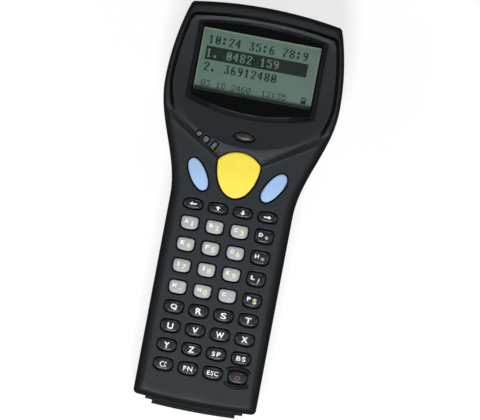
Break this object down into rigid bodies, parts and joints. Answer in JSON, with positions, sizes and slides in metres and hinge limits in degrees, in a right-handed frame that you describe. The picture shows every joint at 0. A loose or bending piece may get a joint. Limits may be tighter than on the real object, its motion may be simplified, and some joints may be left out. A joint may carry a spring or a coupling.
{
  "type": "portable barcode data terminal",
  "caption": "Handheld data terminal with a waisted body, recessed screen, keypad with scan key, scan window in its top end and a hinged battery cover on its back.",
  "frame": {"origin": "middle of the back's rest plane, under the middle of the bounding box", "axes": "+X to the right of the keypad, +Y from the dock foot to the head, +Z out of the keys"},
  "size_m": [0.0742, 0.172, 0.036],
  "materials": {
    "abs_charcoal": "fine moulded texture",
    "seal_rubber": "matt",
    "screw_steel": "bright zinc",
    "lens_clear": "polished hard coat over a black border",
    "lens_smoked": "polished",
    "lens_milky": "satin",
    "lcd_glass": "satin polariser",
    "mat_silicone": "matt",
    "board_fibreglass": "solder mask",
    "part_black": "matt",
    "window_red": "polished",
    "battery_wrap": "satin",
    "contact_gold": "gold flash",
    "key_yellow": "satin",
    "key_blue": "satin",
    "key_silver": "satin",
    "key_black": "satin"
  },
  "bodies": {
    "housing": {"front_housing": "abs_charcoal", "rear_housing": "abs_charcoal", "housing_seal": "seal_rubber", "housing_screws": "screw_steel", "display_lens": "lens_clear", "lens_seal": "seal_rubber", "lcd_module": "lcd_glass", "lcd_bezel": "screw_steel", "status_lens": "lens_smoked", "light_pipe": "lens_milky", "keypad_mat": "mat_silicone", "front_board": "board_fibreglass", "main_board": "board_fibreglass", "beeper": "part_black", "scan_engine": "part_black", "scan_window": "window_red", "battery_pack": "battery_wrap", "battery_contacts": "contact_gold", "dock_contacts": "contact_gold"},
    "cover": {"battery_cover": "abs_charcoal"},
    "lock": {"battery_lock": "abs_charcoal"},
    "key_scan": {"key_scan": "key_yellow"},
    "key_oval_left": {"key_oval_left": "key_blue"},
    "key_oval_right": {"key_oval_right": "key_blue"},
    "key_left": {"key_left": "key_black"},
    "key_up": {"key_up": "key_black"},
    "key_down": {"key_down": "key_black"},
    "key_right": {"key_right": "key_black"},
    "key_1": {"key_1": "key_silver"},
    "key_2": {"key_2": "key_silver"},
    "key_3": {"key_3": "key_silver"},
    "key_plus": {"key_plus": "key_black"},
    "key_4": {"key_4": "key_silver"},
    "key_5": {"key_5": "key_silver"},
    "key_6": {"key_6": "key_silver"},
    "key_star": {"key_star": "key_black"},
    "key_7": {"key_7": "key_silver"},
    "key_8": {"key_8": "key_silver"},
    "key_9": {"key_9": "key_silver"},
    "key_slash": {"key_slash": "key_black"},
    "key_minus": {"key_minus": "key_silver"},
    "key_0": {"key_0": "key_silver"},
    "key_point": {"key_point": "key_silver"},
    "key_currency": {"key_currency": "key_black"},
    "key_q": {"key_q": "key_black"},
    "key_r": {"key_r": "key_black"},
    "key_s": {"key_s": "key_black"},
    "key_t": {"key_t": "key_black"},
    "key_u": {"key_u": "key_black"},
    "key_v": {"key_v": "key_black"},
    "key_w": {"key_w": "key_black"},
    "key_x": {"key_x": "key_black"},
    "key_y": {"key_y": "key_black"},
    "key_z": {"key_z": "key_black"},
    "key_space": {"key_space": "key_black"},
    "key_back": {"key_back": "key_black"},
    "key_alpha": {"key_alpha": "key_black"},
    "key_fn": {"key_fn": "key_black"},
    "key_esc": {"key_esc": "key_black"},
    "key_power": {"key_power": "key_black"}
  },
  "joints": [
    {"name": "key_scan_press", "type": "slide", "parent": "housing", "child": "key_scan", "axis": [0, 0, -1], "range_m": [0, 0.0008], "stiffness_N_per_m": 1500, "springref_m": -0.0003},
    {"name": "key_oval_left_press", "type": "slide", "parent": "housing", "child": "key_oval_left", "axis": [0, 0, -1], "range_m": [0, 0.0008], "stiffness_N_per_m": 1500, "springref_m": -0.0003},
    {"name": "key_oval_right_press", "type": "slide", "parent": "housing", "child": "key_oval_right", "axis": [0, 0, -1], "range_m": [0, 0.0008], "stiffness_N_per_m": 1500, "springref_m": -0.0003},
    {"name": "key_left_press", "type": "slide", "parent": "housing", "child": "key_left", "axis": [0, 0, -1], "range_m": [0, 0.0008], "stiffness_N_per_m": 1500, "springref_m": -0.0003},
    {"name": "key_up_press", "type": "slide", "parent": "housing", "child": "key_up", "axis": [0, 0, -1], "range_m": [0, 0.0008], "stiffness_N_per_m": 1500, "springref_m": -0.0003},
    {"name": "key_down_press", "type": "slide", "parent": "housing", "child": "key_down", "axis": [0, 0, -1], "range_m": [0, 0.0008], "stiffness_N_per_m": 1500, "springref_m": -0.0003},
    {"name": "key_right_press", "type": "slide", "parent": "housing", "child": "key_right", "axis": [0, 0, -1], "range_m": [0, 0.0008], "stiffness_N_per_m": 1500, "springref_m": -0.0003},
    {"name": "key_1_press", "type": "slide", "parent": "housing", "child": "key_1", "axis": [0, 0, -1], "range_m": [0, 0.0008], "stiffness_N_per_m": 1500, "springref_m": -0.0003},
    {"name": "key_2_press", "type": "slide", "parent": "housing", "child": "key_2", "axis": [0, 0, -1], "range_m": [0, 0.0008], "stiffness_N_per_m": 1500, "springref_m": -0.0003},
    {"name": "key_3_press", "type": "slide", "parent": "housing", "child": "key_3", "axis": [0, 0, -1], "range_m": [0, 0.0008], "stiffness_N_per_m": 1500, "springref_m": -0.0003},
    {"name": "key_plus_press", "type": "slide", "parent": "housing", "child": "key_plus", "axis": [0, 0, -1], "range_m": [0, 0.0008], "stiffness_N_per_m": 1500, "springref_m": -0.0003},
    {"name": "key_4_press", "type": "slide", "parent": "housing", "child": "key_4", "axis": [0, 0, -1], "range_m": [0, 0.0008], "stiffness_N_per_m": 1500, "springref_m": -0.0003},
    {"name": "key_5_press", "type": "slide", "parent": "housing", "child": "key_5", "axis": [0, 0, -1], "range_m": [0, 0.0008], "stiffness_N_per_m": 1500, "springref_m": -0.0003},
    {"name": "key_6_press", "type": "slide", "parent": "housing", "child": "key_6", "axis": [0, 0, -1], "range_m": [0, 0.0008], "stiffness_N_per_m": 1500, "springref_m": -0.0003},
    {"name": "key_star_press", "type": "slide", "parent": "housing", "child": "key_star", "axis": [0, 0, -1], "range_m": [0, 0.0008], "stiffness_N_per_m": 1500, "springref_m": -0.0003},
    {"name": "key_7_press", "type": "slide", "parent": "housing", "child": "key_7", "axis": [0, 0, -1], "range_m": [0, 0.0008], "stiffness_N_per_m": 1500, "springref_m": -0.0003},
    {"name": "key_8_press", "type": "slide", "parent": "housing", "child": "key_8", "axis": [0, 0, -1], "range_m": [0, 0.0008], "stiffness_N_per_m": 1500, "springref_m": -0.0003},
    {"name": "key_9_press", "type": "slide", "parent": "housing", "child": "key_9", "axis": [0, 0, -1], "range_m": [0, 0.0008], "stiffness_N_per_m": 1500, "springref_m": -0.0003},
    {"name": "key_slash_press", "type": "slide", "parent": "housing", "child": "key_slash", "axis": [0, 0, -1], "range_m": [0, 0.0008], "stiffness_N_per_m": 1500, "springref_m": -0.0003},
    {"name": "key_minus_press", "type": "slide", "parent": "housing", "child": "key_minus", "axis": [0, 0, -1], "range_m": [0, 0.0008], "stiffness_N_per_m": 1500, "springref_m": -0.0003},
    {"name": "key_0_press", "type": "slide", "parent": "housing", "child": "key_0", "axis": [0, 0, -1], "range_m": [0, 0.0008], "stiffness_N_per_m": 1500, "springref_m": -0.0003},
    {"name": "key_point_press", "type": "slide", "parent": "housing", "child": "key_point", "axis": [0, 0, -1], "range_m": [0, 0.0008], "stiffness_N_per_m": 1500, "springref_m": -0.0003},
    {"name": "key_currency_press", "type": "slide", "parent": "housing", "child": "key_currency", "axis": [0, 0, -1], "range_m": [0, 0.0008], "stiffness_N_per_m": 1500, "springref_m": -0.0003},
    {"name": "key_q_press", "type": "slide", "parent": "housing", "child": "key_q", "axis": [0, 0, -1], "range_m": [0, 0.0008], "stiffness_N_per_m": 1500, "springref_m": -0.0003},
    {"name": "key_r_press", "type": "slide", "parent": "housing", "child": "key_r", "axis": [0, 0, -1], "range_m": [0, 0.0008], "stiffness_N_per_m": 1500, "springref_m": -0.0003},
    {"name": "key_s_press", "type": "slide", "parent": "housing", "child": "key_s", "axis": [0, 0, -1], "range_m": [0, 0.0008], "stiffness_N_per_m": 1500, "springref_m": -0.0003},
    {"name": "key_t_press", "type": "slide", "parent": "housing", "child": "key_t", "axis": [0, 0, -1], "range_m": [0, 0.0008], "stiffness_N_per_m": 1500, "springref_m": -0.0003},
    {"name": "key_u_press", "type": "slide", "parent": "housing", "child": "key_u", "axis": [0, 0, -1], "range_m": [0, 0.0008], "stiffness_N_per_m": 1500, "springref_m": -0.0003},
    {"name": "key_v_press", "type": "slide", "parent": "housing", "child": "key_v", "axis": [0, 0, -1], "range_m": [0, 0.0008], "stiffness_N_per_m": 1500, "springref_m": -0.0003},
    {"name": "key_w_press", "type": "slide", "parent": "housing", "child": "key_w", "axis": [0, 0, -1], "range_m": [0, 0.0008], "stiffness_N_per_m": 1500, "springref_m": -0.0003},
    {"name": "key_x_press", "type": "slide", "parent": "housing", "child": "key_x", "axis": [0, 0, -1], "range_m": [0, 0.0008], "stiffness_N_per_m": 1500, "springref_m": -0.0003},
    {"name": "key_y_press", "type": "slide", "parent": "housing", "child": "key_y", "axis": [0, 0, -1], "range_m": [0, 0.0008], "stiffness_N_per_m": 1500, "springref_m": -0.0003},
    {"name": "key_z_press", "type": "slide", "parent": "housing", "child": "key_z", "axis": [0, 0, -1], "range_m": [0, 0.0008], "stiffness_N_per_m": 1500, "springref_m": -0.0003},
    {"name": "key_space_press", "type": "slide", "parent": "housing", "child": "key_space", "axis": [0, 0, -1], "range_m": [0, 0.0008], "stiffness_N_per_m": 1500, "springref_m": -0.0003},
    {"name": "key_back_press", "type": "slide", "parent": "housing", "child": "key_back", "axis": [0, 0, -1], "range_m": [0, 0.0008], "stiffness_N_per_m": 1500, "springref_m": -0.0003},
    {"name": "key_alpha_press", "type": "slide", "parent": "housing", "child": "key_alpha", "axis": [0, 0, -1], "range_m": [0, 0.0008], "stiffness_N_per_m": 1500, "springref_m": -0.0003},
    {"name": "key_fn_press", "type": "slide", "parent": "housing", "child": "key_fn", "axis": [0, 0, -1], "range_m": [0, 0.0008], "stiffness_N_per_m": 1500, "springref_m": -0.0003},
    {"name": "key_esc_press", "type": "slide", "parent": "housing", "child": "key_esc", "axis": [0, 0, -1], "range_m": [0, 0.0008], "stiffness_N_per_m": 1500, "springref_m": -0.0003},
    {"name": "key_power_press", "type": "slide", "parent": "housing", "child": "key_power", "axis": [0, 0, -1], "range_m": [0, 0.0008], "stiffness_N_per_m": 1500, "springref_m": -0.0003},
    {"name": "battery_cover_hinge", "type": "hinge", "parent": "housing", "child": "cover", "pos_m": [0, -0.0753, 0.0011], "axis": [-1, 0, 0], "range_deg": [0, 75]},
    {"name": "battery_lock_slide", "type": "slide", "parent": "housing", "child": "lock", "axis": [0, -1, 0], "range_m": [0, 0.003]}
  ]
}
